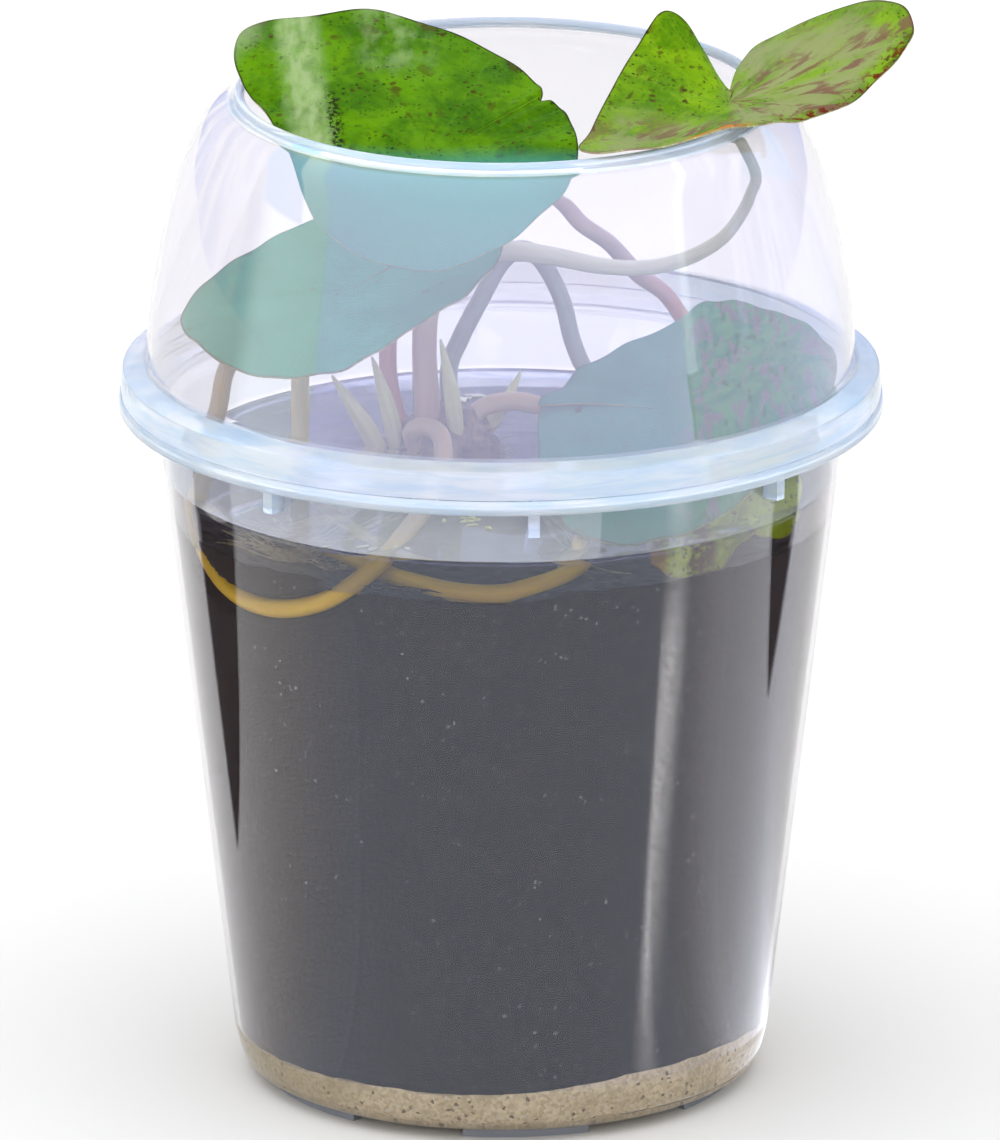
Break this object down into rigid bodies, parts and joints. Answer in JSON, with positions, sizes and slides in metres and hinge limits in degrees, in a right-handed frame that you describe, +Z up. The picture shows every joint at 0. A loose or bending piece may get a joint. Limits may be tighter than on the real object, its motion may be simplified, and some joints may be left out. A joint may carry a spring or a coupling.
{
  "type": "dwarf water lily in a clear domed cup",
  "caption": "Young water lily with round notched leaves, growing in wet soil over sand in a tall clear cup, its leaves reaching out of the hole of a clear domed lid.",
  "frame": {"origin": "the middle of the underside of the whole object's bounds, on the surface that the cup's ring of feet stands on; the cup's axis is 3.5 mm to its -X side", "axes": "+Z up along the cup's axis; -Y towards the side that the picture shows as the front; +X to its right"},
  "size_m": [0.197, 0.19, 0.2743],
  "materials": {
    "cup": "gloss",
    "lid": "gloss",
    "sand": "matte",
    "soil": "satin",
    "water": "gloss",
    "crown": "matte",
    "green_leaf": "satin",
    "plain_leaf": "satin",
    "mottled_leaf": "satin",
    "old_leaf": "satin",
    "brown_stem": "satin",
    "gold_stem": "satin",
    "shoot": "satin",
    "root": "matte"
  },
  "bodies": {
    "root": {"cup": "cup", "lid": "lid", "sand": "sand", "soil": "soil", "water": "water", "crown": "crown", "leaf_upper_left": "green_leaf", "petiole_upper_left": "gold_stem", "leaf_lower_left": "plain_leaf", "petiole_lower_left": "gold_stem", "leaf_right": "green_leaf", "petiole_right": "brown_stem", "leaf_lower_right": "mottled_leaf", "petiole_lower_right": "brown_stem", "leaf_old": "old_leaf", "petiole_old": "brown_stem", "shoot_1": "shoot", "shoot_2": "shoot", "shoot_3": "shoot", "shoot_4": "shoot", "shoot_5": "shoot", "root_1": "root", "root_2": "root", "root_3": "root"}
  },
  "joints": []
}
